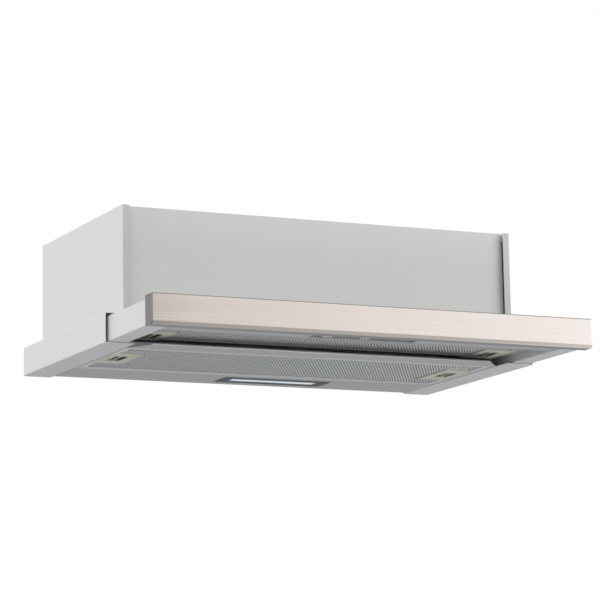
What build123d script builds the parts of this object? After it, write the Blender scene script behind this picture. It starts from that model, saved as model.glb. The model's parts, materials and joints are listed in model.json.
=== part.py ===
from build123d import *
import math
import os

# Slide-out kitchen range hood, 60 cm class, in millimetres.
# Origin: centre of the four cabinet screw holes, on the upper face of the top plate.
# +Z is up, the front faces -Y, the wall is at +Y, and X runs from the left side to the right.

# ---- driving dimensions -------------------------------------------------------------------
HOOD_WIDTH = 598.0
HOOD_HEIGHT = 175.0
BASE_DEPTH = 294.0
BASE_HEIGHT = 38.0
CASING_WIDTH = 546.0
SHEET = 1.0
BEND = 1.6

BOTTOM = -HOOD_HEIGHT
BASE_TOP = BOTTOM + BASE_HEIGHT
FRONT = -BASE_DEPTH / 2
REAR = BASE_DEPTH / 2
HALF_W = HOOD_WIDTH / 2
HALF_CASING = CASING_WIDTH / 2

# casing
CASING_FRONT = FRONT + 6.0
FLANGE_WIDTH = 9.5
FRONT_PANEL_Y = CASING_FRONT + 8.0
BACK_PANEL_Y = REAR - 9.0
PANEL_EDGE = 265.5
PANEL_TAB = 8.0
PAN_LIP = 10.0
PANEL_RETURN = 9.0

# base
SIDE_STRIP = 39.0
LIP = 4.0
REAR_PANEL_Y = FRONT + 209.0
REAR_UPSTAND = 12.0
RAIL_DEPTH = 32.0
RAIL_LIP = 2.2
RAIL_MITRE = 23.0
LIP_START = -113.0
LAMP_X = 35.0
LAMP_Y = 94.0
LAMP_LENGTH = 150.0
LAMP_WIDTH = 36.0

# drawer, shown pulled out
PROFILE_DEPTH = 21.0
PROFILE_HEIGHT = 37.2
PROFILE_BACK = FRONT - 130.0
PROFILE_FRONT = PROFILE_BACK - PROFILE_DEPTH
PROFILE_LIP = 4.0
DRAWER_INSET = 4.0
DRAWER_FLOOR = 1.5
DRAWER_TOP = 33.8
DRAWER_STRIP = 26.0
DRAWER_REAR = 3.0
TRAY_LEVEL = 12.0
TRAY_FLANGE = 3.0
TRAY_STEP_Y = -242.0
TRAY_OPENING = (-187.5, -78.0)
COVER_HALF = HALF_CASING - 2.6
COVER_REAR = -76.0
TRAY_REAR = -67.0

# telescopic runners
RUNNER_BOTTOM = 15.0
RUNNER_TOP = 32.0
RUNNER_DEPTH = 11.0
RUNNER_HALF_LENGTH = 135.0
RUNNER_PLAY = 0.5

# grease filters: two cassettes of one width, with a sprung latch at each end
FILTER_HALF = 257.5
FILTER_THICK = 8.0
FILTER_SKIN = 0.8
FILTER_SIDE = 9.0
REAR_FILTER = (-112.5, 60.5)
REAR_LATCH = (-64.0, 16.0)
REAR_FILTER_LEVEL = 1.0
DRAWER_FILTER = (-186.0, -120.0)
DRAWER_LATCH = (-174.0, -102.0)
DRAWER_FILTER_LEVEL = TRAY_LEVEL
REAR_FILTER_BAND = 9.0
DRAWER_FILTER_BAND = 3.0

LATCH_LENGTH = 42.0
LATCH_WALL = 1.2
WINDOW_FROM = 13.5
WINDOW_TO = 31.5
WINDOW_WIDTH = 38.0
PULL_INNER = 33.0
PULL_HALF = 26.0
TAB_FROM = 22.0
PULL_FLOOR = 4.6
PULL_THICK = 1.6
TONGUE_WIDTH = 24.0
SPRING_RADIUS = 1.5
SPRING_WIRE = 0.5
SPRING_TURNS = 5

# controls in the drawer's front flange
CONTROL_X = -2.0
CONTROL_LENGTH = 144.0
CONTROL_REAR = -246.0
CONTROL_WIDTH = 29.0
CONTROL_LEVEL = 6.5
LIGHT_SLOT = (-57.0, -35.0)
SPEED_SLOT = (-6.5, 33.0)
SLOT_Y = -252.0
SLOT_WIDTH = 6.0
LIGHT_KNOB_X = -50.0
SPEED_KNOB_X = 1.0
KNOB_LENGTH = 12.0
KNOB_WIDTH = 5.0

# blower: double-inlet, on an axis along X, blowing up into the duct
DUCT_Y = 35.0
OUTLET_HALF = 32.0
SCROLL_HALF = 45.0
SCROLL_WALL = 2.0
SCROLL_R1 = 50.0
SCROLL_STEP = 8.0
OUTLET_TOP = -3.0
OUTLET_LAND = 12.0
FAN_Y = DUCT_Y - OUTLET_HALF + SCROLL_R1 + 2.5 * SCROLL_STEP
FAN_Z = -72.0
FAN_RADIUS = 42.0
FAN_EYE = 34.0
FAN_HALF = 41.0
BLADES = 28
BLADE_CHORD = 8.2
EYE_HOLE = 35.0
MOTOR_RADIUS = 27.0
MOTOR_LENGTH = 39.0
SHAFT_RADIUS = 4.0
SHAFT_PLAY = 0.05
BEARING_RADIUS = 9.0
BEARING_WIDTH = 6.0

# duct outlet with a two-flap backdraught damper
DUCT_RADIUS = 59.5
DUCT_WALL = 2.0
DUCT_HEIGHT = 21.0
COLLAR_RADIUS = 72.0
COLLAR_FLANGE = 3.0
FLAP_RADIUS = 56.0
FLAP_THICK = 1.5
FLAP_Z = 6.0
PIN_RADIUS = 1.5
KNUCKLE_RADIUS = 3.0
KNUCKLE_PLAY = 0.08

# cabinet screw holes in the top plate
MOUNT_X = 470.0
MOUNT_Y = 180.0
MOUNT_HOLE = 2.75

# electrics
GLAND_X = 180.0
GLAND_Y = 85.0
GLAND_BORE = 4.0
GLAND_RADIUS = 8.0
BOX_X = (GLAND_X - 35.0, GLAND_X + 35.0)
BOX_Y = (GLAND_Y - 30.0, GLAND_Y + 30.0)

# fasteners
FLANGE_SCREW_X = HALF_CASING - 5.5
FLANGE_SCREW_Z = BASE_TOP + 22.0
DRAWER_SCREW_X = (-281.0, -120.0, 120.0, 281.0)
COLLAR_SCREW_ANGLES = (45, 135, 225, 315)


# ---- small helpers ------------------------------------------------------------------------
def level(height):
    """Z of a height measured up from the underside of the base."""
    return BOTTOM + height


def block(x, y, z):
    """Box between two limits on each axis."""
    size = (x[1] - x[0], y[1] - y[0], z[1] - z[0])
    centre = (sum(x) / 2, sum(y) / 2, sum(z) / 2)
    return Pos(*centre) * Box(*size)


def rod_z(radius, z, at=(0.0, 0.0)):
    """Upright cylinder between two heights."""
    return Pos(at[0], at[1], sum(z) / 2) * Cylinder(radius, z[1] - z[0])


def rod_x(radius, x, y, z):
    """Cylinder along X."""
    return Pos(sum(x) / 2, y, z) * Rot(0, 90, 0) * Cylinder(radius, x[1] - x[0])


def rod_y(radius, y, x, z):
    """Cylinder along Y."""
    return Pos(x, sum(y) / 2, z) * Rot(90, 0, 0) * Cylinder(radius, y[1] - y[0])


def folded(points, side):
    """Section of a folded sheet: its outer line with round bends, thickened to one side."""
    outer = FilletPolyline(*points, radius=BEND)
    return make_face(offset(outer, amount=SHEET, side=side, closed=True).edges())


def along_x(face, x):
    """Section drawn in Y and Z, run between two X limits."""
    return extrude(Plane.YZ.offset(x[0]) * face, amount=x[1] - x[0])


def along_y(face, y):
    """Section drawn in X and Z, run between two Y limits."""
    return extrude(Plane.XZ.offset(-y[1]) * face, amount=y[1] - y[0])


def along_z(face, z):
    """Section drawn in X and Y, run between two heights."""
    return extrude(Plane.XY.offset(z[0]) * face, amount=z[1] - z[0])


def mirrored(shape):
    """The same piece on the right-hand side."""
    return mirror(shape, about=Plane.YZ)


def pan_screw(radius, head, at, length, direction):
    """Pan-head screw: the head starts at the point and the shank runs along the direction."""
    plane = Plane(origin=at, z_dir=direction)
    shank = plane * Pos(0, 0, length / 2) * Cylinder(radius, length)
    cap = plane * Pos(0, 0, -radius * 0.6) * Cylinder(head, radius * 1.2)
    dome = fillet(cap.edges().group_by(Axis(at, direction))[0], radius * 0.5)
    recess = plane * Pos(0, 0, -radius * 1.2) * Box(head * 1.1, 0.7, 1.2)
    cross = plane * Pos(0, 0, -radius * 1.2) * Box(0.7, head * 1.1, 1.2)
    return (dome - recess - cross) + shank


# ---- casing -------------------------------------------------------------------------------
def body_side():
    """Left side panel: front flange, rear flange and the web that carries the runner."""
    outline = [
        (-HALF_CASING + FLANGE_WIDTH, CASING_FRONT),
        (-HALF_CASING, CASING_FRONT),
        (-HALF_CASING, REAR),
        (-HALF_CASING + PANEL_RETURN, REAR),
    ]
    panel = along_z(folded(outline, Side.RIGHT), (BASE_TOP, 0))
    web = block(
        (-HALF_CASING, -HALF_CASING + SHEET),
        (FRONT_PANEL_Y, REAR - BEND - SHEET),
        (level(RUNNER_BOTTOM), BASE_TOP),
    )
    return panel + web


def flange_screw_hole(radius):
    """Hole for the screw through the right-hand flange into the front panel's tab."""
    return rod_y(radius, (CASING_FRONT - 1, FRONT_PANEL_Y + 2), FLANGE_SCREW_X, FLANGE_SCREW_Z)


def body_front():
    """Front panel behind the side flanges, joined to its end returns by a tab at screw height."""
    half = HALF_CASING - SHEET
    y = FRONT_PANEL_Y
    outline = [(-half, y + PANEL_RETURN), (-half, y), (half, y), (half, y + PANEL_RETURN)]
    panel = along_z(folded(outline, Side.LEFT), (BASE_TOP, 0))
    below = (BASE_TOP - 1, FLANGE_SCREW_Z - PANEL_TAB)
    above = (FLANGE_SCREW_Z + PANEL_TAB, 1)
    for height in (below, above):
        gap = block((PANEL_EDGE, half - BEND), (y - 1, y + SHEET), height)
        panel -= gap
        panel -= mirrored(gap)
    return panel - flange_screw_hole(1.5)


def body_back():
    """Back panel between the side panels, with returns towards the front."""
    half = HALF_CASING - SHEET
    y = BACK_PANEL_Y
    outline = [(half, y - PANEL_RETURN), (half, y), (-half, y), (-half, y - PANEL_RETURN)]
    return along_z(folded(outline, Side.LEFT), (level(LIP), 0))


def top_plate():
    """Top pan with turned-down lips, the duct hole, the cabinet screw holes and the gland hole."""
    x = (-HALF_CASING + 2 * SHEET, HALF_CASING - 2 * SHEET)
    y = (FRONT_PANEL_Y + SHEET, BACK_PANEL_Y - SHEET)
    pan = block(x, y, (-PAN_LIP, 0))
    pan = fillet(pan.edges().filter_by(Axis.Z), 2.0)
    pan -= block((x[0] + SHEET, x[1] - SHEET), (y[0] + SHEET, y[1] - SHEET), (-PAN_LIP, -SHEET))
    pan -= rod_z(DUCT_RADIUS - DUCT_WALL, (-PAN_LIP, 1), (0, DUCT_Y))
    pan -= rod_z(GLAND_RADIUS - 1.5, (-PAN_LIP, 1), (GLAND_X, GLAND_Y))
    for hole_x in (-MOUNT_X / 2, MOUNT_X / 2):
        for hole_y in (-MOUNT_Y / 2, MOUNT_Y / 2):
            pan -= rod_z(MOUNT_HOLE, (-2, 1), (hole_x, hole_y))
    return pan


# ---- base ---------------------------------------------------------------------------------
def base_side():
    """Left base channel, open to the front for the drawer; its inner lip starts behind the rail."""
    strip = HALF_W - SIDE_STRIP
    section = [
        (-strip, level(LIP)),
        (-strip, BOTTOM),
        (-HALF_W, BOTTOM),
        (-HALF_W, BASE_TOP),
        (-HALF_CASING, BASE_TOP),
    ]
    channel = along_y(folded(section, Side.RIGHT), (FRONT, REAR))
    channel -= block((-strip - SHEET, -strip), (FRONT, LIP_START), (level(SHEET), level(LIP)))
    end = block((-HALF_W + SHEET, -HALF_CASING), (REAR - SHEET, REAR), (level(SHEET), BASE_TOP - SHEET))
    return channel + end


def base_rear_panel():
    """Rear floor of the base, with a front lip, a rear upstand and the lamp cut-out."""
    half = HALF_W - SIDE_STRIP
    section = [
        (REAR_PANEL_Y, level(LIP)),
        (REAR_PANEL_Y, BOTTOM),
        (BACK_PANEL_Y - SHEET, BOTTOM),
        (BACK_PANEL_Y - SHEET, level(REAR_UPSTAND)),
    ]
    floor = along_x(folded(section, Side.LEFT), (-half, half))
    return floor - block(
        (LAMP_X - LAMP_LENGTH / 2, LAMP_X + LAMP_LENGTH / 2),
        (LAMP_Y - LAMP_WIDTH / 2, LAMP_Y + LAMP_WIDTH / 2),
        (BOTTOM - 1, level(2)),
    )


def front_rail():
    """Cross rail under the drawer mouth, mitred at its ends."""
    half = HALF_W - SIDE_STRIP
    rear = FRONT + RAIL_DEPTH
    section = [
        (FRONT, level(RAIL_LIP)),
        (FRONT, BOTTOM),
        (rear, BOTTOM),
        (rear, level(RAIL_LIP)),
    ]
    rail = along_x(folded(section, Side.LEFT), (-half, half))
    for side in (-1, 1):
        corner = [(side * half, FRONT), (side * (half - RAIL_MITRE), FRONT), (side * half, rear - 4)]
        mitre = make_face(Polyline(*corner, close=True).edges())
        rail -= along_z(mitre, (BOTTOM - 1, level(LIP)))
    return rail


# ---- telescopic runners -------------------------------------------------------------------
def runner_outer():
    """Left fixed rail: a lipped channel on the outside of the side panel's web."""
    back = -HALF_CASING
    mouth = back - RUNNER_DEPTH
    low, high = level(RUNNER_BOTTOM), level(RUNNER_TOP)
    length = (-RUNNER_HALF_LENGTH, RUNNER_HALF_LENGTH)
    rail = block((mouth, back), length, (low, high))
    rail -= block((mouth, back - 1.2), length, (low + 1, high - 1))
    lip = 3.2
    rail += block((mouth, mouth + 1), length, (high - 1 - lip, high - 1))
    rail += block((mouth, mouth + 1), length, (low + 1, low + 1 + lip))
    return rail


def runner_inner():
    """Left sliding member on the drawer side, held behind the lips of the fixed rail."""
    mouth = -HALF_CASING - RUNNER_DEPTH
    low, high = level(RUNNER_BOTTOM), level(RUNNER_TOP)
    length = (PROFILE_BACK + 12, -2.0)
    drawer_wall = -HALF_W + DRAWER_INSET + SHEET
    head = block((mouth + 1 + RUNNER_PLAY, mouth + 7), length, (low + 1 + RUNNER_PLAY, high - 1 - RUNNER_PLAY))
    neck_low, neck_high = low + 5.2, high - 5.2
    neck = block((drawer_wall, mouth + 2), length, (neck_low, neck_high))
    return head + neck


# ---- drawer -------------------------------------------------------------------------------
def profile_outline(shrink=0.0):
    """Side outline of the front profile, drawn in Y and Z, with a slanted lower lip."""
    front = PROFILE_FRONT + shrink
    top = level(PROFILE_HEIGHT) - shrink
    low = BOTTOM + shrink
    lip = PROFILE_LIP - shrink * (2 - math.sqrt(2))
    points = [
        (PROFILE_BACK, low),
        (PROFILE_BACK, top),
        (front, top),
        (front, low + lip),
        (front + lip, low),
    ]
    return make_face(Polyline(*points, close=True).edges())


def front_profile():
    """Brushed front profile: a shallow shell, open at the back and below behind its slanted lip."""
    shell = along_x(profile_outline(), (-HALF_W, HALF_W))
    face_edges = shell.edges().filter_by(Axis.Z).sort_by(Axis.Y)[:2]
    shell = fillet(face_edges, BEND)
    top_edges = shell.edges().group_by(Axis.Z)[-1].filter_by(Axis.X).sort_by(Axis.Y)[:1]
    shell = fillet(top_edges, 1.0)
    inside = (-HALF_W + SHEET, HALF_W - SHEET)
    shell -= along_x(profile_outline(SHEET), inside)
    return shell - block(inside, (PROFILE_FRONT + PROFILE_LIP, PROFILE_BACK), (BOTTOM, level(2 * SHEET)))


def profile_back():
    """Stiffener that closes the profile at the back and below, and carries the drawer's sides."""
    section = [
        (PROFILE_FRONT + PROFILE_LIP, BOTTOM),
        (PROFILE_BACK, BOTTOM),
        (PROFILE_BACK, level(PROFILE_HEIGHT) - SHEET),
    ]
    plate = along_x(folded(section, Side.LEFT), (-HALF_W + SHEET, HALF_W - SHEET))
    for x in DRAWER_SCREW_X:
        plate -= rod_y(1.75, (PROFILE_BACK - 2, PROFILE_BACK + 1), x, level(24))
    return plate


def drawer_side():
    """Left drawer side, a box channel that runs back into the base."""
    outer = HALF_W - DRAWER_INSET
    inner = outer - DRAWER_STRIP
    section = [
        (-inner, level(TRAY_LEVEL)),
        (-inner, level(DRAWER_FLOOR)),
        (-outer, level(DRAWER_FLOOR)),
        (-outer, level(DRAWER_TOP)),
        (-HALF_CASING - 1.6, level(DRAWER_TOP)),
    ]
    return along_y(folded(section, Side.RIGHT), (PROFILE_BACK, DRAWER_REAR))


def drawer_tray():
    """Drawer floor: a low front flange with the controls' cut-out, a step up, and the filter opening."""
    section = [
        (PROFILE_BACK, level(TRAY_FLANGE)),
        (TRAY_STEP_Y, level(TRAY_FLANGE)),
        (TRAY_STEP_Y, level(TRAY_LEVEL)),
        (TRAY_REAR, level(TRAY_LEVEL)),
        (TRAY_REAR, level(TRAY_LEVEL + FILTER_THICK)),
    ]
    half = HALF_W - DRAWER_INSET - DRAWER_STRIP
    tray = along_x(folded(section, Side.LEFT), (-half, half))
    opening_x = (-FILTER_HALF - 1.5, FILTER_HALF + 1.5)
    rim_x = (opening_x[0] - SHEET, opening_x[1] + SHEET)
    rim_y = (TRAY_OPENING[0] - SHEET, TRAY_OPENING[1] + SHEET)
    tray += block(rim_x, rim_y, (level(TRAY_LEVEL), level(TRAY_LEVEL + LIP)))
    tray -= block(opening_x, TRAY_OPENING, (level(TRAY_LEVEL) - 1, level(TRAY_LEVEL + LIP) + 1))
    return tray - control_block(0.0, (level(TRAY_FLANGE) - 1, level(TRAY_FLANGE + SHEET) + 1))


def drawer_cover():
    """Top of the drawer, a shallow inverted channel that guides the air back to the blower."""
    section = [
        (-COVER_HALF, level(TRAY_LEVEL)),
        (-COVER_HALF, level(DRAWER_TOP)),
        (COVER_HALF, level(DRAWER_TOP)),
        (COVER_HALF, level(TRAY_LEVEL)),
    ]
    return along_y(folded(section, Side.RIGHT), (PROFILE_BACK, COVER_REAR))


# ---- controls -----------------------------------------------------------------------------
def control_block(shrink, z):
    """Block over the footprint of the control panel."""
    return block(
        (CONTROL_X - CONTROL_LENGTH / 2 + shrink, CONTROL_X + CONTROL_LENGTH / 2 - shrink),
        (CONTROL_REAR - CONTROL_WIDTH + shrink, CONTROL_REAR - shrink),
        z,
    )


def knob_slot(slot, margin, z):
    """Block through one slider slot."""
    return block((slot[0] - margin, slot[1] + margin),
                 (SLOT_Y - SLOT_WIDTH / 2 - margin, SLOT_Y + SLOT_WIDTH / 2 + margin), z)


def control_panel():
    """Plastic control panel: a recess in the front flange with two slider slots in its roof."""
    low, roof = level(TRAY_FLANGE), level(CONTROL_LEVEL)
    rim = low + SHEET
    panel = control_block(0.0, (low, roof + 1.5))
    panel += control_block(-1.5, (rim, rim + 1.2))
    panel -= control_block(1.5, (low - 1, roof))
    for slot in (LIGHT_SLOT, SPEED_SLOT):
        panel += knob_slot(slot, 1.2, (roof + 1.5, roof + 3.0))
        panel -= knob_slot(slot, 0.0, (roof - 1, roof + 4))
    return panel


def switch_body(slot):
    """Slide switch above one slot of the control panel, open below for its slider."""
    low = level(CONTROL_LEVEL) + 3.0
    height = 7.0
    body = block((slot[0] - 4, slot[1] + 4), (SLOT_Y - 6, SLOT_Y + 6), (low, low + height))
    body -= block((slot[0] - 0.5, slot[1] + 0.5), (SLOT_Y - 3.5, SLOT_Y + 3.5), (low, low + 4.5))
    for x in (slot[0] - 1, sum(slot) / 2, slot[1] + 1):
        body += block((x - 0.4, x + 0.4), (SLOT_Y - 1.5, SLOT_Y + 1.5), (low + height, low + height + 5))
    return body


def slider(x):
    """Finger slider: a ribbed cap below the panel's roof and a stem up into the switch."""
    roof = level(CONTROL_LEVEL)
    low = roof - 3.0
    cap = block((x - KNOB_LENGTH / 2, x + KNOB_LENGTH / 2),
                (SLOT_Y - KNOB_WIDTH / 2, SLOT_Y + KNOB_WIDTH / 2), (low, roof + 2.2))
    cap = fillet(cap.edges().group_by(Axis.Z)[0], 0.5)
    for rib in (-2.4, 0.0, 2.4):
        cap -= block((x + rib - 0.5, x + rib + 0.5), (SLOT_Y - 3, SLOT_Y + 3), (low, low + 0.7))
    stem = block((x - 3, x + 3), (SLOT_Y - 2, SLOT_Y + 2), (roof + 2.2, roof + 6.6))
    return cap + stem


# ---- grease filters -----------------------------------------------------------------------
def latch_pocket(seat, low):
    """Block that the left latch housing takes up in a filter."""
    outer = -FILTER_HALF + FILTER_SKIN
    return block((outer, outer + LATCH_LENGTH), seat, (low, low + FILTER_THICK))


def tongue_slot(seat, low):
    """Block of the slot that the left latch's tongue slides out through."""
    middle = sum(seat) / 2
    floor = low + PULL_FLOOR
    return block((-FILTER_HALF - 1, -FILTER_HALF + FILTER_SKIN + LATCH_WALL + 1),
                 (middle - TONGUE_WIDTH / 2 - 0.5, middle + TONGUE_WIDTH / 2 + 0.5),
                 (floor - 0.3, floor + PULL_THICK + 0.3))


def filter_frame(span, seat, low, band):
    """Folded aluminium frame around the mesh, cut away for the two latch housings."""
    high = low + FILTER_THICK
    frame = block((-FILTER_HALF, FILTER_HALF), span, (low, high))
    frame = fillet(frame.edges().filter_by(Axis.Z), 2.0)
    skin = FILTER_SKIN
    frame -= block((-FILTER_HALF + skin, FILTER_HALF - skin), (span[0] + skin, span[1] - skin),
                   (low + skin, high - skin))
    frame -= block((-FILTER_HALF + FILTER_SIDE, FILTER_HALF - FILTER_SIDE),
                   (span[0] + band, span[1] - band), (low - 1, high + 1))
    for cut in (latch_pocket(seat, low), tongue_slot(seat, low)):
        frame -= cut
        frame -= mirrored(cut)
    return frame


def filter_mesh(span, seat, low):
    """Grease mesh pack inside the frame, as one plate."""
    skin = FILTER_SKIN
    mesh = block((-FILTER_HALF + skin, FILTER_HALF - skin), (span[0] + skin, span[1] - skin),
                 (low + skin, low + FILTER_THICK - skin))
    pocket = latch_pocket(seat, low)
    return mesh - pocket - mirrored(pocket)


def latch_housing(seat, low):
    """Left latch housing: a plate with a finger window and a closed slide space above it."""
    middle = sum(seat) / 2
    outer = -FILTER_HALF + FILTER_SKIN
    cavity = block((outer + LATCH_WALL, outer + LATCH_LENGTH - LATCH_WALL),
                   (seat[0] + 6, seat[1] - 6), (low + LATCH_WALL, low + FILTER_THICK - LATCH_WALL))
    window = block((-FILTER_HALF + WINDOW_FROM, -FILTER_HALF + WINDOW_TO),
                   (middle - WINDOW_WIDTH / 2, middle + WINDOW_WIDTH / 2), (low - 1, low + LATCH_WALL + 1))
    window = fillet(window.edges().filter_by(Axis.Z), 3.0)
    return latch_pocket(seat, low) - cavity - window - tongue_slot(seat, low)


def latch_pull(seat, low):
    """Left latch: a sliding plate with a tongue outwards and a hooked finger tab in the window."""
    middle = sum(seat) / 2
    floor = low + PULL_FLOOR
    plate = block((-FILTER_HALF + 6, -FILTER_HALF + PULL_INNER), (middle - PULL_HALF, middle + PULL_HALF),
                  (floor, floor + PULL_THICK))
    tongue = block((-FILTER_HALF - 0.6, -FILTER_HALF + 6),
                   (middle - TONGUE_WIDTH / 2, middle + TONGUE_WIDTH / 2), (floor, floor + PULL_THICK))
    tab_x = -FILTER_HALF + TAB_FROM
    tab = block((tab_x, tab_x + 2.2), (middle - 13, middle + 13), (low + 0.3, floor))
    hook = block((tab_x - 4.5, tab_x), (middle + 10.8, middle + 13), (low + 0.3, floor))
    foot = block((tab_x - 1.8, tab_x), (middle - 13, middle + 13), (low + 0.3, low + 1.3))
    return plate + tongue + tab + hook + foot


def coil_spring(seat, low):
    """Compression spring between the left pull and the inner wall of its housing."""
    start = -FILTER_HALF + PULL_INNER + SPRING_WIRE
    end = -FILTER_HALF + FILTER_SKIN + LATCH_LENGTH - LATCH_WALL - SPRING_WIRE
    origin = (start, sum(seat) / 2, low + FILTER_THICK - LATCH_WALL - SPRING_RADIUS - SPRING_WIRE)
    plane = Plane(origin=origin, z_dir=(1, 0, 0))
    height = end - start
    path = Helix(pitch=height / SPRING_TURNS, height=height, radius=SPRING_RADIUS)
    profile = Plane(origin=path @ 0, z_dir=path % 0) * Circle(SPRING_WIRE / 2)
    return plane * sweep(profile, path=path)


# ---- lamp ---------------------------------------------------------------------------------
def lamp_housing():
    """Lamp box in the rear floor, with a thin bezel around the lens."""
    half_l, half_w = LAMP_LENGTH / 2, LAMP_WIDTH / 2
    body = block((LAMP_X - half_l, LAMP_X + half_l), (LAMP_Y - half_w, LAMP_Y + half_w), (BOTTOM, level(16)))
    bezel = block((LAMP_X - half_l - 2, LAMP_X + half_l + 2), (LAMP_Y - half_w - 2, LAMP_Y + half_w + 2),
                  (BOTTOM - 0.8, BOTTOM))
    bezel = fillet(bezel.edges().filter_by(Axis.Z), 3.0)
    cavity = block((LAMP_X - half_l + 2, LAMP_X + half_l - 2), (LAMP_Y - half_w + 2, LAMP_Y + half_w - 2),
                   (level(1.2), level(14.5)))
    mouth = block((LAMP_X - 63, LAMP_X + 63), (LAMP_Y - 11, LAMP_Y + 11), (BOTTOM - 2, level(2)))
    mouth = fillet(mouth.edges().filter_by(Axis.Z), 2.5)
    return body + bezel - cavity - mouth


def lamp_lens():
    """Ribbed lamp lens seated behind the bezel."""
    flange = block((LAMP_X - 66, LAMP_X + 66), (LAMP_Y - 14, LAMP_Y + 14), (level(1.2), level(2.4)))
    window = block((LAMP_X - 62.5, LAMP_X + 62.5), (LAMP_Y - 10.5, LAMP_Y + 10.5), (level(0.1), level(1.2)))
    window = fillet(window.edges().filter_by(Axis.Z), 2.2)
    lens = flange + window
    pitch = 5.0
    count = int(124 / pitch)
    for index in range(count):
        x = LAMP_X + (index - (count - 1) / 2) * pitch
        lens -= block((x - 0.5, x + 0.5), (LAMP_Y - 11, LAMP_Y + 11), (level(0), level(0.6)))
    return lens


def led_board():
    """Circuit board with a row of light-emitting diodes facing down."""
    board = block((LAMP_X - 68, LAMP_X + 68), (LAMP_Y - 9, LAMP_Y + 9), (level(12.9), level(14.5)))
    count = 12
    for index in range(count):
        x = LAMP_X + (index - (count - 1) / 2) * 11.0
        board += block((x - 1.8, x + 1.8), (LAMP_Y - 1.8, LAMP_Y + 1.8), (level(12.0), level(12.9)))
    return board


def lamp_driver():
    """Lamp power supply, screwed to the rear floor beside the lamp."""
    box = block((150, 214), (80, 116), (level(SHEET), level(24)))
    box = fillet(box.edges().filter_by(Axis.Z), 2.0)
    ears = block((142, 222), (92, 104), (level(SHEET), level(3)))
    return box + ears


# ---- duct outlet --------------------------------------------------------------------------
def duct_collar():
    """Plastic outlet collar with a base flange, the damper's seat and its pin holes."""
    inner = DUCT_RADIUS - DUCT_WALL
    at = (0, DUCT_Y)
    collar = rod_z(COLLAR_RADIUS, (0, COLLAR_FLANGE), at) + rod_z(DUCT_RADIUS, (0, DUCT_HEIGHT), at)
    rim = collar.edges().group_by(Axis.Z)[-1]
    collar = fillet(rim, 0.8)
    collar -= rod_z(inner, (-1, DUCT_HEIGHT + 1), at)
    seat = rod_z(inner, (0, FLAP_Z - FLAP_THICK / 2 - 0.5), at) - rod_z(inner - 3.5, (-1, FLAP_Z), at)
    collar += seat
    collar -= rod_x(PIN_RADIUS, (-inner - 1, inner + 1), DUCT_Y, FLAP_Z)
    for angle in COLLAR_SCREW_ANGLES:
        collar -= rod_z(1.75, (-1, COLLAR_FLANGE + 1), collar_screw_xy(angle))
    return collar


def collar_screw_xy(angle):
    """Place of a collar screw from its angle round the duct."""
    radius = (COLLAR_RADIUS + DUCT_RADIUS) / 2
    return radius * math.cos(math.radians(angle)), DUCT_Y + radius * math.sin(math.radians(angle))


def damper_pin():
    """Steel pin that both flaps turn on."""
    inner = DUCT_RADIUS - DUCT_WALL
    return rod_x(PIN_RADIUS, (-inner - 0.8, inner + 0.8), DUCT_Y, FLAP_Z)


def damper_flap(side, knuckles):
    """Half-round flap on one side of the pin, with its knuckles round the pin."""
    half_thick = FLAP_THICK / 2
    disc = rod_z(FLAP_RADIUS, (FLAP_Z - half_thick, FLAP_Z + half_thick))
    edge = 4.2
    keep = block((-60, 60), (edge, 60), (0, 12)) if side > 0 else block((-60, 60), (-60, -edge), (0, 12))
    flap = disc & keep
    for span in knuckles:
        reach = (0, edge + 1) if side > 0 else (-edge - 1, 0)
        flap += rod_x(KNUCKLE_RADIUS, span, 0, FLAP_Z)
        flap += block(span, reach, (FLAP_Z - half_thick, FLAP_Z + half_thick))
    flap -= rod_x(PIN_RADIUS + KNUCKLE_PLAY, (-60, 60), 0, FLAP_Z)
    return Pos(0, DUCT_Y, 0) * flap


# ---- blower -------------------------------------------------------------------------------
def scroll_outline(grow=0.0):
    """Inside outline of the scroll in Y and Z: three quarter-turn arcs of growing radius."""
    half = SCROLL_STEP / 2
    centres = [(FAN_Y + half, FAN_Z - half), (FAN_Y - half, FAN_Z - half), (FAN_Y - half, FAN_Z + half)]
    radii = [SCROLL_R1 + grow + SCROLL_STEP * turn for turn in range(3)]
    throat = DUCT_Y + OUTLET_HALF + grow
    lean = math.asin((throat - centres[0][0]) / radii[0])
    start_angle = 90 - math.degrees(lean)
    sweeps = [(start_angle, 0), (0, -90), (-90, -180)]
    arcs = []
    for (cy, cz), radius, (begin, finish) in zip(centres, radii, sweeps):
        turn = [math.radians(begin + (finish - begin) * share) for share in (0.0, 0.5, 1.0)]
        arcs.append(ThreePointArc(*[(cy + radius * math.cos(a), cz + radius * math.sin(a)) for a in turn]))
    first = arcs[0] @ 0
    last = arcs[2] @ 1
    top = OUTLET_TOP
    lines = [
        Line((last.X, last.Y), (last.X, top)),
        Line((last.X, top), (first.X, top)),
        Line((first.X, top), (first.X, first.Y)),
    ]
    return make_face([edge for part in arcs + lines for edge in part.edges()])


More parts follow.
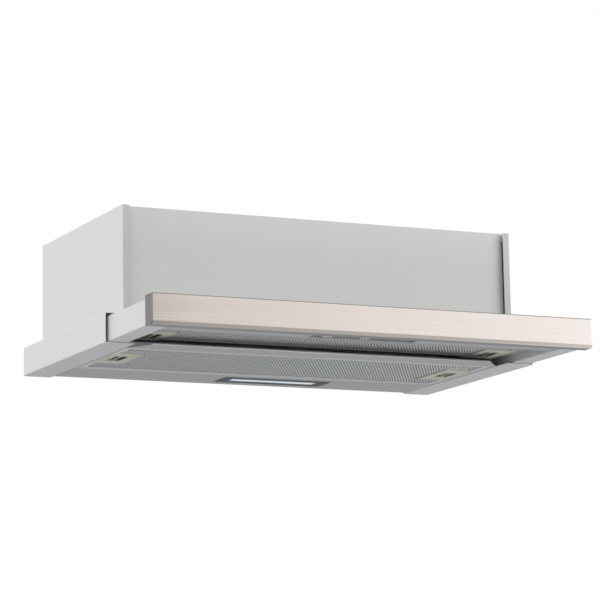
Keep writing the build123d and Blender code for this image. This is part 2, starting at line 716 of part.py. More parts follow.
def scroll_half():
    """Left half of the scroll: its rim wall, end wall with the inlet eye, and outlet land."""
    end = (-SCROLL_HALF - SCROLL_WALL, -SCROLL_HALF)
    rim = along_x(scroll_outline(SCROLL_WALL), (end[0], 0.0)) - along_x(scroll_outline(), (end[1], 1.0))
    above = block((end[0] - 20, 20), (-100, 150), (OUTLET_TOP, 40))
    half = rim - above
    eye = rod_x(EYE_HOLE, (end[0] - 20, end[1] + 4), FAN_Y, FAN_Z)
    lip = rod_x(EYE_HOLE + 2, (end[0], end[1] + 3), FAN_Y, FAN_Z)
    half = half + lip - eye
    reach = OUTLET_HALF + OUTLET_LAND
    land = block((end[0] - OUTLET_LAND, 0), (DUCT_Y - reach, DUCT_Y + reach), (OUTLET_TOP, -SHEET))
    mouth = block((-SCROLL_HALF, 1), (DUCT_Y - OUTLET_HALF, DUCT_Y + OUTLET_HALF), (OUTLET_TOP - 1, 1))
    half = half + land - mouth
    for side in (-1, 1):
        y = DUCT_Y + side * (OUTLET_HALF + OUTLET_LAND / 2 + 1)
        half -= rod_z(1.75, (-10, 0), (end[0] - OUTLET_LAND / 2, y))
    return half


def impeller():
    """Double-inlet squirrel-cage impeller: centre disc with hub, slanted blades, end rings."""
    wheel = rod_x(FAN_RADIUS, (-1, 1), FAN_Y, FAN_Z)
    for x in ((-FAN_HALF, -FAN_HALF + 2), (FAN_HALF - 2, FAN_HALF)):
        wheel += rod_x(FAN_RADIUS, x, FAN_Y, FAN_Z) - rod_x(FAN_EYE, x, FAN_Y, FAN_Z)
    wheel += rod_x(9, (-7, 10), FAN_Y, FAN_Z)
    mid = (FAN_EYE + FAN_RADIUS) / 2
    blade = Pos(0, mid, 0) * Rot(35, 0, 0) * Box(2 * FAN_HALF - 2, BLADE_CHORD, 1.0)
    for index in range(BLADES):
        wheel += Pos(0, FAN_Y, FAN_Z) * Rot(index * 360 / BLADES, 0, 0) * blade
    return wheel - rod_x(SHAFT_RADIUS, (-20, 20), FAN_Y, FAN_Z)


def motor():
    """Fan motor inside the left half of the impeller, with pockets for its two bearings."""
    back = -SCROLL_HALF - SCROLL_WALL
    can = rod_x(MOTOR_RADIUS, (back, back + MOTOR_LENGTH), FAN_Y, FAN_Z)
    can = fillet(can.edges(), 2.0)
    can -= rod_x(SHAFT_RADIUS + 2, (back - 1, 0), FAN_Y, FAN_Z)
    for x in bearing_spans():
        can -= rod_x(BEARING_RADIUS, x, FAN_Y, FAN_Z)
    return can


def bearing_spans():
    """X limits of the two motor bearings."""
    back = -SCROLL_HALF - SCROLL_WALL
    front = back + MOTOR_LENGTH
    return [(back, back + BEARING_WIDTH), (front - BEARING_WIDTH, front)]


def motor_bearings():
    """Two bearing rings with running clearance on the shaft."""
    rings = []
    for x in bearing_spans():
        ring = rod_x(BEARING_RADIUS, x, FAN_Y, FAN_Z)
        rings.append(ring - rod_x(SHAFT_RADIUS + SHAFT_PLAY, (x[0] - 1, x[1] + 1), FAN_Y, FAN_Z))
    return rings


def motor_shaft():
    """Shaft from the motor's rear bearing to the impeller hub."""
    return rod_x(SHAFT_RADIUS, (-SCROLL_HALF - SCROLL_WALL + 1, 10), FAN_Y, FAN_Z)


def motor_bracket():
    """Three-armed spider that holds the motor in the left inlet."""
    face = -SCROLL_HALF - SCROLL_WALL
    x = (face - 2, face)
    ring = rod_x(EYE_HOLE + 9, x, FAN_Y, FAN_Z) - rod_x(EYE_HOLE + 1, (x[0] - 1, x[1] + 1), FAN_Y, FAN_Z)
    hub = rod_x(MOTOR_RADIUS - 8, x, FAN_Y, FAN_Z)
    spider = ring + hub
    for index in range(3):
        arm = block(x, (-4.5, 4.5), (MOTOR_RADIUS - 10, EYE_HOLE + 4))
        turned = Rot(60 + index * 120, 0, 0) * arm
        spider += Pos(0, FAN_Y, FAN_Z) * turned
    spider -= rod_x(SHAFT_RADIUS + 2, (x[0] - 1, x[1] + 1), FAN_Y, FAN_Z)
    return spider


# ---- electrics ----------------------------------------------------------------------------
def capacitor():
    """Motor capacitor can, hung from the top plate by its stud."""
    can = rod_z(15, (-56, -SHEET), (-140, 40))
    can = fillet(can.edges().group_by(Axis.Z)[0], 2.0)
    terminals = block((-144, -142.5), (37, 43), (-64, -56)) + block((-137.5, -136), (37, 43), (-64, -56))
    return can + terminals


def box_block(shrink, z):
    """Block over the footprint of the wiring box."""
    return block((BOX_X[0] + shrink, BOX_X[1] - shrink), (BOX_Y[0] + shrink, BOX_Y[1] - shrink), z)


def terminal_box():
    """Open-bottomed wiring box under the top plate."""
    walls = box_block(0.0, (-40, -SHEET)) - box_block(2.0, (-41, -SHEET - 2))
    return walls - rod_z(GLAND_RADIUS - 1.5, (-5, 0), (GLAND_X, GLAND_Y))


def terminal_box_lid():
    """Lid that closes the wiring box from below."""
    rim = box_block(2.4, (-40, -38.5)) - box_block(4.0, (-40, -38))
    return box_block(0.0, (-42, -40)) + rim


def terminal_block():
    """Terminal strip inside the wiring box, hung from its roof."""
    y = GLAND_Y + 19
    strip = block((GLAND_X - 25, GLAND_X + 25), (y - 6, y + 6), (-17, -SHEET - 2))
    for index in range(5):
        strip -= rod_z(2, (-18, -12), (GLAND_X - 20 + index * 10, y))
    return strip


def cable_gland():
    """Strain-relief gland for the mains lead, through the top plate."""
    gland = rod_z(GLAND_RADIUS - 1.5, (-SHEET - 2, 0), (GLAND_X, GLAND_Y))
    gland += rod_z(GLAND_RADIUS + 3, (0, 3), (GLAND_X, GLAND_Y))
    gland += rod_z(GLAND_RADIUS - 1, (3, 12), (GLAND_X, GLAND_Y))
    top = gland.edges().group_by(Axis.Z)[-1]
    gland = chamfer(top, 1.0)
    return gland - rod_z(GLAND_BORE, (-10, 20), (GLAND_X, GLAND_Y))


# ---- fasteners ----------------------------------------------------------------------------
def casing_screws():
    """Screws of the fixed half: right-hand flange and duct collar."""
    flange = (FLANGE_SCREW_X, CASING_FRONT, FLANGE_SCREW_Z)
    screws = [pan_screw(1.5, 2.6, flange, FRONT_PANEL_Y - CASING_FRONT + 3, (0, 1, 0))]
    for angle in COLLAR_SCREW_ANGLES:
        at = (*collar_screw_xy(angle), COLLAR_FLANGE)
        screws.append(pan_screw(1.75, 3.2, at, COLLAR_FLANGE, (0, 0, -1)))
    return screws


def drawer_screws():
    """Screws that hold the front profile to the drawer's sides and cover."""
    return [pan_screw(1.75, 3.0, (x, PROFILE_BACK, level(24)), 6.0, (0, -1, 0)) for x in DRAWER_SCREW_X]


# ---- output -------------------------------------------------------------------------------
def both_sides(name, shape):
    """Names for a left piece and its mirror image."""
    return {name + "_left": shape, name + "_right": mirrored(shape)}


def filter_parts(prefix, span, seat, low, band):
    """All the pieces of one filter cassette."""
    spring = coil_spring(seat, low)
    parts = {
        prefix + "_filter_frame": filter_frame(span, seat, low, band),
        prefix + "_filter_mesh": filter_mesh(span, seat, low),
        prefix + "_latch_springs": [spring, mirrored(spring)],
    }
    parts.update(both_sides(prefix + "_latch_housing", latch_housing(seat, low)))
    parts.update(both_sides(prefix + "_latch", latch_pull(seat, low)))
    return parts


def build():
    """Every node of the hood by name."""
    parts = {
        "body_front": body_front(),
        "body_back": body_back(),
        "top_plate": top_plate(),
        "base_rear_panel": base_rear_panel(),
        "front_rail": front_rail(),
        "front_profile": front_profile(),
        "profile_back": profile_back(),
        "drawer_tray": drawer_tray(),
        "drawer_cover": drawer_cover(),
        "control_panel": control_panel(),
        "light_switch": switch_body(LIGHT_SLOT),
        "speed_switch": switch_body(SPEED_SLOT),
        "light_slider": slider(LIGHT_KNOB_X),
        "speed_slider": slider(SPEED_KNOB_X),
        "lamp_housing": lamp_housing(),
        "lamp_lens": lamp_lens(),
        "led_board": led_board(),
        "lamp_driver": lamp_driver(),
        "duct_collar": duct_collar(),
        "damper_pin": damper_pin(),
        "damper_flap_front": damper_flap(-1, [(-42, -24), (24, 42)]),
        "damper_flap_rear": damper_flap(1, [(-22, -6), (6, 22)]),
        "impeller": impeller(),
        "motor": motor(),
        "motor_bearings": motor_bearings(),
        "motor_shaft": motor_shaft(),
        "motor_bracket": motor_bracket(),
        "capacitor": capacitor(),
        "terminal_box": terminal_box(),
        "terminal_box_lid": terminal_box_lid(),
        "terminal_block": terminal_block(),
        "cable_gland": cable_gland(),
        "casing_screws": casing_screws(),
        "drawer_screws": drawer_screws(),
    }
    parts.update(both_sides("body_side", body_side()))
    parts["body_side_right"] -= flange_screw_hole(1.7)
    parts.update(both_sides("base_side", base_side()))
    parts.update(both_sides("runner_outer", runner_outer()))
    parts.update(both_sides("runner_inner", runner_inner()))
    parts.update(both_sides("drawer_side", drawer_side()))
    parts.update(both_sides("scroll", scroll_half()))
    rear_low, drawer_low = level(REAR_FILTER_LEVEL), level(DRAWER_FILTER_LEVEL)
    parts.update(filter_parts("rear", REAR_FILTER, REAR_LATCH, rear_low, REAR_FILTER_BAND))
    parts.update(filter_parts("drawer", DRAWER_FILTER, DRAWER_LATCH, drawer_low, DRAWER_FILTER_BAND))
    return parts


def as_compound(name, shape):
    """One labelled compound of separate solids."""
    items = shape if isinstance(shape, list) else [shape]
    solids = [solid for item in items for solid in item.solids()]
    compound = Compound(children=solids)
    compound.label = name
    return compound


os.makedirs("parts", exist_ok=True)
for node, shape in build().items():
    export_step(as_compound(node, shape), "parts/" + node + ".step")
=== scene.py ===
import json
import math
import random

import bpy
from mathutils import Matrix, Vector


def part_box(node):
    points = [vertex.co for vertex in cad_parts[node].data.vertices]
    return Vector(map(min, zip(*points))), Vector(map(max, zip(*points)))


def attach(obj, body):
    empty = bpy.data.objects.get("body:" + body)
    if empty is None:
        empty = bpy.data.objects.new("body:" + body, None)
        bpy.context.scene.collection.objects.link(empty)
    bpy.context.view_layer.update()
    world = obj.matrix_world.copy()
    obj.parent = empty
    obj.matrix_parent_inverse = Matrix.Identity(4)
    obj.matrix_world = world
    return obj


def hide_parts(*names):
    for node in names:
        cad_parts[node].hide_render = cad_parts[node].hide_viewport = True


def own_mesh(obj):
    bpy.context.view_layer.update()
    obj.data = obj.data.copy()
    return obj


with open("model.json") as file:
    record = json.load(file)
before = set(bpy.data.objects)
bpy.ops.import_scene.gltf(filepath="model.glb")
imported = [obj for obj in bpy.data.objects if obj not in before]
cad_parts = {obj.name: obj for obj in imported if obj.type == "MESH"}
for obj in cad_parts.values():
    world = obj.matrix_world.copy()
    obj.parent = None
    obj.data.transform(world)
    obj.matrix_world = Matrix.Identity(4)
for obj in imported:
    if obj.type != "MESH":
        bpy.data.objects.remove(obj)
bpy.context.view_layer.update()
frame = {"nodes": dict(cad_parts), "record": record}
nodes = frame["nodes"]
random.seed(7)

MM = 0.001

# Camera: a long lens low in front of the hood, looking up at it from the left.
CAMERA_AT = Vector((-1.50816, -3.25173, -0.70593))
CAMERA_YAW = math.radians(25.37)
CAMERA_PITCH = math.radians(9.88)
CAMERA_ROLL = math.radians(-1.12)
LENS = 166.1
SENSOR = 36.0

CLIP_END = 50.0

FLOOR_Z = -1.6
FLOOR_HALF = 9.0

# Filter mesh: a sheet of diamond openings in rows, half a pitch apart from row to row.
MESH_PITCH_X = 4.2 * MM
MESH_PITCH_Y = MESH_PITCH_X * math.sqrt(3)
STRAND = 0.72 * MM
SHEET_THICK = 0.25 * MM
STRAND_RISE = 0.35 * MM
FRONT_SHEET_IN = 0.1 * MM
BACK_SHEET_IN = 1.0 * MM

# Pad between the two sheets: a grid of points, each moved up or down by chance.
PAD_STEP = 6.0 * MM
PAD_CRUMPLE = 0.6 * MM
PAD_THICK = 0.4 * MM

# Sockets of the colour form of the Mix node, which its socket names don't tell apart.
MIX_FIRST, MIX_SECOND, MIX_RESULT = 6, 7, 2


# ---- node helpers ------------------------------------------------------------------------
class Nodes:
    """Short calls for building one material's node tree on object coordinates."""

    def __init__(self, name):
        self.material = bpy.data.materials.new(name)
        self.material.use_nodes = True
        self.tree = self.material.node_tree
        self.shader = self.tree.nodes["Principled BSDF"]
        self.coordinates = self.tree.nodes.new("ShaderNodeTexCoord").outputs["Object"]

    def link(self, source, target):
        self.tree.links.new(source, target)

    def scaled(self, scale):
        """Object coordinates stretched by a scale on each axis."""
        mapping = self.tree.nodes.new("ShaderNodeMapping")
        mapping.inputs["Scale"].default_value = scale
        self.link(self.coordinates, mapping.inputs["Vector"])
        return mapping.outputs["Vector"]

    def noise(self, scale, detail=3.0, stretch=(1, 1, 1)):
        texture = self.tree.nodes.new("ShaderNodeTexNoise")
        texture.inputs["Scale"].default_value = scale
        texture.inputs["Detail"].default_value = detail
        self.link(self.scaled(stretch), texture.inputs["Vector"])
        return texture.outputs["Fac"]

    def voronoi(self, scale):
        texture = self.tree.nodes.new("ShaderNodeTexVoronoi")
        texture.inputs["Scale"].default_value = scale
        self.link(self.coordinates, texture.inputs["Vector"])
        return texture.outputs["Color"]

    def grey(self, colour):
        node = self.tree.nodes.new("ShaderNodeRGBToBW")
        self.link(colour, node.inputs["Color"])
        return node.outputs["Val"]

    def spread(self, value, low, high, start=0.3, end=0.7):
        """A 0 to 1 value mapped to a low to high range."""
        node = self.tree.nodes.new("ShaderNodeMapRange")
        node.inputs["From Min"].default_value = start
        node.inputs["From Max"].default_value = end
        node.inputs["To Min"].default_value = low
        node.inputs["To Max"].default_value = high
        self.link(value, node.inputs["Value"])
        return node.outputs["Result"]

    def ramp(self, value, stops):
        """Colour from a value, by places along a ramp and the colour at each."""
        node = self.tree.nodes.new("ShaderNodeValToRGB")
        while len(node.color_ramp.elements) < len(stops):
            node.color_ramp.elements.new(0.5)
        for element, (place, colour) in zip(node.color_ramp.elements, stops):
            element.position = place
            element.color = (*colour, 1.0)
        self.link(value, node.inputs["Fac"])
        return node.outputs["Color"]

    def mix(self, first, second, share):
        node = self.tree.nodes.new("ShaderNodeMix")
        node.data_type = "RGBA"
        self.link(first, node.inputs[MIX_FIRST])
        self.link(second, node.inputs[MIX_SECOND])
        if isinstance(share, float):
            node.inputs["Factor"].default_value = share
        else:
            self.link(share, node.inputs["Factor"])
        return node.outputs[MIX_RESULT]

    def product(self, first, second):
        node = self.tree.nodes.new("ShaderNodeMath")
        node.operation = "MULTIPLY"
        self.link(first, node.inputs[0])
        self.link(second, node.inputs[1])
        return node.outputs[0]

    def along(self, axis):
        """One object coordinate, in metres."""
        node = self.tree.nodes.new("ShaderNodeSeparateXYZ")
        self.link(self.coordinates, node.inputs["Vector"])
        return node.outputs[axis]

    def bump(self, height, distance, strength=1.0):
        node = self.tree.nodes.new("ShaderNodeBump")
        node.inputs["Distance"].default_value = distance
        node.inputs["Strength"].default_value = strength
        self.link(height, node.inputs["Height"])
        self.link(node.outputs["Normal"], self.shader.inputs["Normal"])

    def set(self, **values):
        for name, value in values.items():
            self.shader.inputs[name.replace("_", " ")].default_value = value

    def colour(self, source):
        self.link(source, self.shader.inputs["Base Color"])

    def roughness(self, source):
        self.link(source, self.shader.inputs["Roughness"])


def shade(colour, factor):
    return tuple(min(1.0, channel * factor) for channel in colour)


# ---- materials ---------------------------------------------------------------------------
def lacquered_steel(name, colour, flange_y=None):
    """Satin silver-grey lacquer with fine grain, with painted shade darkening the front flange and its
    bend in front of flange_y if that is given.
    """
    m = Nodes(name)
    cloud = m.noise(5.0, 4.0)
    fine = m.noise(900.0, 2.0)
    tone = m.ramp(cloud, [(0.3, shade(colour, 0.965)), (0.7, shade(colour, 1.03))])
    speck = m.ramp(fine, [(0.35, shade(colour, 0.95)), (0.65, shade(colour, 1.04))])
    satin_and_painted_shade = m.mix(tone, speck, 0.35)
    if flange_y is not None:
        # Painted shade: a darker copy of the lacquer in front of flange_y, on the forward-facing flange
        # and its bend.
        tone_and_painted_shade = m.ramp(fine, [(0.35, shade(colour, 0.80)), (0.65, shade(colour, 0.86))])
        behind = m.spread(m.along("Y"), 0.0, 1.0, flange_y + 1.0 * MM, flange_y + 1.8 * MM)
        satin_and_painted_shade = m.mix(tone_and_painted_shade, satin_and_painted_shade, behind)
    m.colour(satin_and_painted_shade)
    m.roughness(m.spread(cloud, 0.37, 0.48))
    m.bump(fine, 0.06 * MM, 0.35)
    m.set(Metallic=0.35)
    return m.material


def brushed_profile():
    """Stainless front, brushed lengthwise, with a painted reflection that lightens it towards the right
    and painted shade darkening its left end and top folded edge.
    """
    m = Nodes("brushed_profile")
    low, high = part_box("front_profile")
    place = m.spread(m.along("X"), 0.0, 1.0, low.x, high.x)
    # Warm stainless colour with a painted reflection: grey-beige and darker at the left end, lighter
    # towards the right.
    warm_painted_reflection = m.ramp(place, [
        (0.0, (0.47, 0.425, 0.39)),
        (0.10, (0.60, 0.535, 0.485)),
        (0.45, (0.72, 0.645, 0.60)),
        (1.0, (0.82, 0.755, 0.72)),
    ])
    lines = m.noise(1.0, 3.0, (6, 1500, 1500))
    streak = m.noise(1.0, 2.0, (9, 160, 160))
    pale = m.ramp(lines, [(0.3, (0.60, 0.55, 0.51)), (0.7, (0.95, 0.89, 0.85))])
    face = m.mix(warm_painted_reflection, pale, m.spread(streak, 0.10, 0.34))
    # Painted shade and painted reflection: the left end cap and the top folded edge are painted
    # near-black.
    tone_and_painted_shade = m.ramp(lines, [(0.3, (0.15, 0.14, 0.132)), (0.7, (0.21, 0.195, 0.185))])
    from_end = m.spread(m.along("X"), 0.0, 1.0, low.x + 0.8 * MM, low.x + 1.4 * MM)
    from_top = m.spread(m.along("Z"), 1.0, 0.0, high.z - 1.4 * MM, high.z - 0.6 * MM)
    m.colour(m.mix(tone_and_painted_shade, face, m.product(from_end, from_top)))
    m.roughness(m.spread(lines, 0.24, 0.42))
    m.bump(lines, 0.04 * MM, 0.5)
    m.set(Metallic=0.85, Anisotropic=0.6)
    return m.material


def galvanised():
    """Zinc-coated sheet with a faint spangle."""
    m = Nodes("galvanised")
    spangle = m.grey(m.voronoi(110.0))
    cloud = m.noise(14.0)
    tone = m.ramp(spangle, [(0.1, (0.50, 0.515, 0.525)), (0.9, (0.64, 0.655, 0.665))])
    tone_and_painted_shade = m.ramp(cloud, [(0.3, (0.50, 0.51, 0.52)), (0.7, (0.62, 0.63, 0.64))])
    m.colour(m.mix(tone, tone_and_painted_shade, 0.45))
    m.roughness(m.spread(spangle, 0.34, 0.52, 0.1, 0.9))
    m.bump(spangle, 0.05 * MM, 0.3)
    m.set(Metallic=0.75)
    return m.material


def bright_zinc():
    """Bright zinc plate on screws, pins and springs."""
    m = Nodes("bright_zinc")
    fine = m.noise(700.0)
    m.colour(m.ramp(fine, [(0.3, (0.58, 0.58, 0.57)), (0.7, (0.74, 0.74, 0.72))]))
    m.roughness(m.spread(fine, 0.2, 0.36))
    m.bump(fine, 0.03 * MM, 0.4)
    m.set(Metallic=1.0)
    return m.material


def anodised(name, colour, roughness, metallic=0.8):
    """Anodised aluminium with fine rolling lines."""
    m = Nodes(name)
    lines = m.noise(1.0, 2.0, (30, 1400, 1400))
    patch = m.noise(30.0)
    tone = m.ramp(lines, [(0.3, shade(colour, 0.88)), (0.7, shade(colour, 1.08))])
    tone_and_painted_shade = m.ramp(patch, [(0.3, shade(colour, 0.93)), (0.7, shade(colour, 1.05))])
    m.colour(m.mix(tone, tone_and_painted_shade, 0.5))
    m.roughness(m.spread(patch, roughness - 0.06, roughness + 0.08))
    m.bump(lines, 0.03 * MM, 0.4)
    m.set(Metallic=metallic)
    return m.material


def moulded(name, colour, roughness=0.5):
    """Moulded plastic with a fine spark-eroded grain."""
    m = Nodes(name)
    fine = m.noise(1680.0, 2.0)
    cloud = m.noise(24.0, 3.0)
    tone = m.ramp(cloud, [(0.3, shade(colour, 0.92)), (0.7, shade(colour, 1.07))])
    speck = m.ramp(fine, [(0.3, shade(colour, 0.90)), (0.7, shade(colour, 1.09))])
    m.colour(m.mix(tone, speck, 0.4))
    m.roughness(m.spread(fine, roughness - 0.06, roughness + 0.08))
    m.bump(fine, 0.08 * MM, 0.35)
    return m.material


def opal_lens():
    """Translucent ribbed lens, cool white, with faint flow marks along its length."""
    m = Nodes("opal_lens")
    flow = m.noise(1.0, 3.0, (16, 260, 260))
    m.colour(m.ramp(flow, [(0.35, (0.70, 0.82, 0.93)), (0.6, (0.97, 0.99, 1.0))]))
    m.roughness(m.spread(flow, 0.16, 0.3))
    m.bump(flow, 0.05 * MM, 0.4)
    m.set(Transmission_Weight=0.15, IOR=1.49)
    m.set(Emission_Strength=0.18, Emission_Color=(0.80, 0.90, 1.0, 1.0))
    return m.material


def solder_mask():
    """White circuit board with faint copper relief."""
    m = Nodes("solder_mask")
    tracks = m.grey(m.voronoi(260.0))
    m.colour(m.ramp(tracks, [(0.2, (0.78, 0.80, 0.78)), (0.8, (0.90, 0.92, 0.90))]))
    m.roughness(m.spread(tracks, 0.22, 0.34))
    m.bump(tracks, 0.08 * MM, 0.3)
    return m.material


def enamelled_steel():
    """Black enamel on the motor can."""
    m = Nodes("enamelled_steel")
    peel = m.noise(340.0, 2.0)
    m.colour(m.ramp(peel, [(0.3, (0.035, 0.035, 0.038)), (0.7, (0.06, 0.06, 0.064))]))
    m.roughness(m.spread(peel, 0.3, 0.45))
    m.bump(peel, 0.1 * MM, 0.4)
    m.set(Metallic=0.2)
    return m.material


def paint_all():
    """Make every material and give each CAD node the one that its slot names."""
    flange_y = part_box("body_side_left")[0].y
    made = {
        "casing_steel": lacquered_steel("casing_steel", (0.63, 0.645, 0.66)),
        "side_panel_steel": lacquered_steel("side_panel_steel", (0.63, 0.645, 0.66), flange_y),
        "front_steel": lacquered_steel("front_steel", (0.62, 0.625, 0.615)),
        "underside_steel": lacquered_steel("underside_steel", (0.42, 0.437, 0.445)),
        "profile_back_steel": lacquered_steel("profile_back_steel", (0.24, 0.245, 0.245)),
        "profile_steel": brushed_profile(),
        "galvanised": galvanised(),
        "zinc": bright_zinc(),
        "filter_aluminium": anodised("filter_aluminium", (0.68, 0.69, 0.70), 0.36),
        "filter_mesh": anodised("filter_mesh", (0.80, 0.82, 0.85), 0.45, 0.25),
        "latch_plastic": moulded("latch_plastic", (0.55, 0.55, 0.47)),
        # Darker copy of the latch plastic: painted shade in the latch recesses.
        "latch_recess_plastic": moulded("latch_recess_plastic", (0.36, 0.36, 0.29)),
        "control_plastic": moulded("control_plastic", (0.26, 0.265, 0.275)),
        "knob_plastic": moulded("knob_plastic", (0.60, 0.61, 0.62), 0.4),
        "black_plastic": moulded("black_plastic", (0.035, 0.035, 0.038)),
        "blower_plastic": moulded("blower_plastic", (0.52, 0.53, 0.52)),
        "lamp_bezel": moulded("lamp_bezel", (0.075, 0.08, 0.085), 0.6),
        "lamp_lens": opal_lens(),
        "circuit_board": solder_mask(),
        "motor_steel": enamelled_steel(),
        # Near-black pad: painted shade standing for the unlit inside of the filter's mesh pack.
        "mesh_pad": anodised("mesh_pad", (0.022, 0.023, 0.025), 0.6, 0.1),
    }
    for part in frame["record"]["subparts"]:
        node = nodes[part["node"]]
        node.data.materials.clear()
        node.data.materials.append(made[part["material_slot"]])
    return made


# ---- filter mesh -------------------------------------------------------------------------
def overlaps(point, reach, box):
    """Whether a diamond round a point touches a box, in X and Y."""
    low, high = box
    return all(low[axis] - reach[axis] < point[axis] < high[axis] + reach[axis] for axis in (0, 1))


def expanded_sheet(name, low, high, z, rise, clear):
    """Sheet of diamond openings: each opening's four corners are shared by the strands round it."""
    half_x, half_y = MESH_PITCH_X / 2, MESH_PITCH_Y / 2
    inner_x = half_x - STRAND / math.cos(math.radians(30)) / 2
    inner_y = inner_x * math.sqrt(3)
    across = int((high[0] - low[0]) / half_x)
    deep = int((high[1] - low[1]) / half_y)
    start = ((low[0] + high[0] - across * half_x) / 2, (low[1] + high[1] - deep * half_y) / 2)
    verts = []
    faces = []
    corner = {}
    strands = [(1, (0, 1, 2, 3)), (-1, (3, 0, 1, 2))]
    for i in range(1, across):
        for j in range(1, deep):
            centre = (start[0] + i * half_x, start[1] + j * half_y)
            if (i + j) % 2 or not clear(centre, (half_x, half_y)):
                continue
            ring = [(inner_x, 0, 0), (0, inner_y, rise), (-inner_x, 0, 0), (0, -inner_y, rise)]
            first = len(verts)
            for side in (0.0, SHEET_THICK):
                verts += [(centre[0] + x, centre[1] + y, z + up + side) for x, y, up in ring]
            corner[i, j] = first
            for k in range(4):
                following = (k + 1) % 4
                faces.append((first + k, first + following, first + 4 + following, first + 4 + k))
    for (i, j), a in corner.items():
        for j_step, (a_from, a_to, b_from, b_to) in strands:
            b = corner.get((i + 1, j + j_step))
            if b is not None:
                loop = (a + a_from, a + a_to, b + b_from, b + b_to)
                faces.append(tuple(reversed(loop)))
                faces.append(tuple(v + 4 for v in loop))
        right = corner.get((i + 2, j))
        up = corner.get((i + 1, j + 1))
        down = corner.get((i + 1, j - 1))
        if None not in (right, up, down):
            bond = (a, down + 1, right + 2, up + 3)
            faces.append(tuple(reversed(bond)))
            faces.append(tuple(v + 4 for v in bond))
    return new_piece(name, verts, faces)


def new_piece(name, verts, faces, smooth=False):
    mesh = bpy.data.meshes.new(name)
    mesh.from_pydata([tuple(v) for v in verts], [], faces)
    mesh.validate()
    mesh.update()
    if smooth:
        mesh.shade_smooth()
    piece = bpy.data.objects.new(name, mesh)
    bpy.context.scene.collection.objects.link(piece)
    return piece


def fibre_pad(name, low, high, z, clear):
    """Crumpled middle layers of the filter, as one creased sheet."""
    across = int((high[0] - low[0]) / PAD_STEP)
    deep = int((high[1] - low[1]) / PAD_STEP)
    verts = []
    faces = []
    index = {}
    for i in range(across + 1):
        for j in range(deep + 1):
            x = low[0] + (high[0] - low[0]) * i / across
            y = low[1] + (high[1] - low[1]) * j / deep
            if clear((x, y), (0.0, 0.0)):
                index[i, j] = len(verts)
                verts.append((x, y, z + random.uniform(-PAD_CRUMPLE, PAD_CRUMPLE)))
    for (i, j), a in index.items():
        loop = (a, index.get((i + 1, j)), index.get((i + 1, j + 1)), index.get((i, j + 1)))
        if None not in loop:
            faces.append(loop)
    pad = new_piece(name, verts, faces)
    solid = pad.modifiers.new("thickness", "SOLIDIFY")
    solid.thickness = PAD_THICK
    return pad


def filter_layers(prefix, made):
    """Front mesh, back mesh and pad that stand for one filter's mesh pack."""
    node = prefix + "_filter_mesh"
    low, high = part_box(node)
    pockets = [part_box(prefix + "_latch_housing_" + side) for side in ("left", "right")]

    def clear(point, reach):
        return not any(overlaps(point, reach, pocket) for pocket in pockets)

    front = expanded_sheet(prefix + "_mesh_front", low, high, low.z + FRONT_SHEET_IN, STRAND_RISE, clear)
    back = expanded_sheet(prefix + "_mesh_back", low, high, high.z - BACK_SHEET_IN, STRAND_RISE, clear)
    middle = fibre_pad(prefix + "_mesh_pad", low, high, (low.z + high.z) / 2, clear)
    for piece in (front, back, middle):
        piece.data.materials.append(made["filter_mesh" if piece is not middle else "mesh_pad"])
        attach(piece, prefix + "_filter")
    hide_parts(node)


# ---- latch springs -----------------------------------------------------------------------
def latch_spring(prefix, side, made):
    """One coil of the pair, as its own piece, carried with its filter."""
    node = nodes[prefix + "_latch_springs"]
    sign = -1 if side == "left" else 1
    source = node.data
    keep = [index for index, vertex in enumerate(source.vertices) if vertex.co.x * sign > 0]
    renumbered = {old: new for new, old in enumerate(keep)}
    verts = [source.vertices[index].co.copy() for index in keep]
    faces = [
        tuple(renumbered[v] for v in face.vertices)
        for face in source.polygons
        if face.vertices[0] in renumbered
    ]
    spring = new_piece(prefix + "_spring_" + side, verts, faces, smooth=True)
    spring.data.materials.append(made["zinc"])
    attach(spring, prefix + "_filter")
    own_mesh(spring)
    return spring


def springs(made):
    for prefix in ("rear", "drawer"):
        left = latch_spring(prefix, "left", made)
        latch_spring(prefix, "right", made)
        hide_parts(prefix + "_latch_springs")


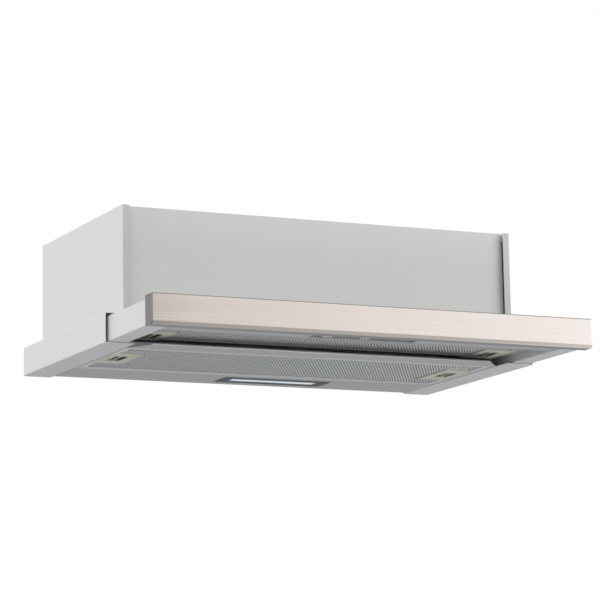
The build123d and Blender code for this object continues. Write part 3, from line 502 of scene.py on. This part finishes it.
# ---- stage -------------------------------------------------------------------------------
def camera():
    cos_y, sin_y = math.cos(CAMERA_YAW), math.sin(CAMERA_YAW)
    cos_p, sin_p = math.cos(CAMERA_PITCH), math.sin(CAMERA_PITCH)
    ahead = Vector((sin_y * cos_p, cos_y * cos_p, sin_p))
    right = Vector((cos_y, -sin_y, 0.0))
    up = right.cross(ahead)
    turned_right = right * math.cos(CAMERA_ROLL) + up * math.sin(CAMERA_ROLL)
    turned_up = up * math.cos(CAMERA_ROLL) - right * math.sin(CAMERA_ROLL)
    data = bpy.data.cameras.new("camera")
    data.lens = LENS
    data.sensor_width = SENSOR
    data.clip_end = CLIP_END
    seen = bpy.data.objects.new("camera", data)
    columns = Matrix((turned_right, turned_up, -ahead)).transposed()
    seen.matrix_world = Matrix.Translation(CAMERA_AT) @ columns.to_4x4()
    bpy.context.scene.collection.objects.link(seen)
    bpy.context.scene.camera = seen


def area_light(name, at, target, size, power):
    data = bpy.data.lights.new(name, "AREA")
    data.size = size
    data.energy = power
    light = bpy.data.objects.new(name, data)
    light.location = at
    light.rotation_euler = (Vector(target) - Vector(at)).to_track_quat("-Z", "Y").to_euler()
    bpy.context.scene.collection.objects.link(light)


def studio():
    """Pale floor far below, white surroundings and three soft lights."""
    world = bpy.data.worlds.new("studio")
    world.use_nodes = True
    background = world.node_tree.nodes["Background"]
    background.inputs["Color"].default_value = (1, 1, 1, 1)
    background.inputs["Strength"].default_value = 1.0
    bpy.context.scene.world = world
    bpy.context.scene.view_settings.view_transform = "Standard"
    area_light("left_softbox", (-2.6, 0.1, 0.5), (0, 0, -0.1), 2.0, 20)
    area_light("right_softbox", (2.0, -1.3, 0.3), (0.2, -0.2, -0.1), 1.2, 4)
    area_light("under_fill", (0.5, -1.4, -1.1), (0.0, -0.15, -0.16), 0.6, 8)
    signs = ((-1, -1), (1, -1), (1, 1), (-1, 1))
    corners = [(x * FLOOR_HALF, y * FLOOR_HALF, FLOOR_Z) for x, y in signs]
    floor = new_piece("floor", corners, [(0, 1, 2, 3)])
    m = Nodes("pale_floor")
    cloud = m.noise(0.6)
    m.colour(m.ramp(cloud, [(0.3, (0.39, 0.39, 0.39)), (0.7, (0.43, 0.43, 0.43))]))
    m.set(Roughness=0.8)
    floor.data.materials.append(m.material)


camera()
studio()
made = paint_all()
for prefix in ("rear", "drawer"):
    filter_layers(prefix, made)
springs(made)
